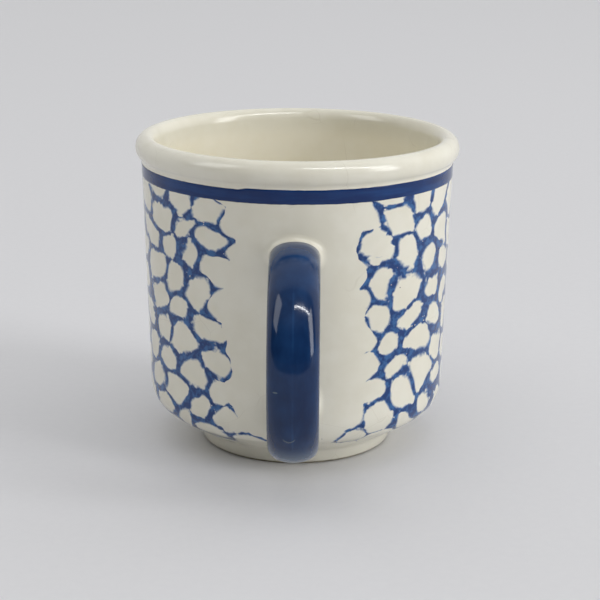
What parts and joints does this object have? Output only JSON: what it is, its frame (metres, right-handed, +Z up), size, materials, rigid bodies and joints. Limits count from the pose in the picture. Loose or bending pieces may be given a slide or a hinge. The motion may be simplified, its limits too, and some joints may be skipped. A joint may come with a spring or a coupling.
{
  "type": "stoneware mug",
  "caption": "Straight-sided stoneware mug with a rolled rim, blue band, turned foot ring and an ear-shaped blue handle; cream glaze with a sponged net print.",
  "frame": {"origin": "centre of the mug's footprint, handle included, on the plane that the foot ring stands on", "axes": "+Z up along the cup; the handle points along -Y, so +Y runs from the handle across the cup; +X to the right of someone facing the handle"},
  "size_m": [0.09, 0.1205, 0.088],
  "materials": {
    "bare_clay": "matte",
    "slip": "gloss",
    "cream_glaze": "gloss",
    "printed_glaze": "gloss",
    "band_blue": "gloss",
    "handle_blue": "gloss"
  },
  "bodies": {
    "root": {"cup_body": "bare_clay", "liner_glaze": "cream_glaze", "wall_glaze": "printed_glaze", "rim_band": "band_blue", "base_glaze": "cream_glaze", "handle": "bare_clay", "handle_glaze": "handle_blue", "upper_slip_joint": "slip", "lower_slip_joint": "slip"}
  },
  "joints": []
}
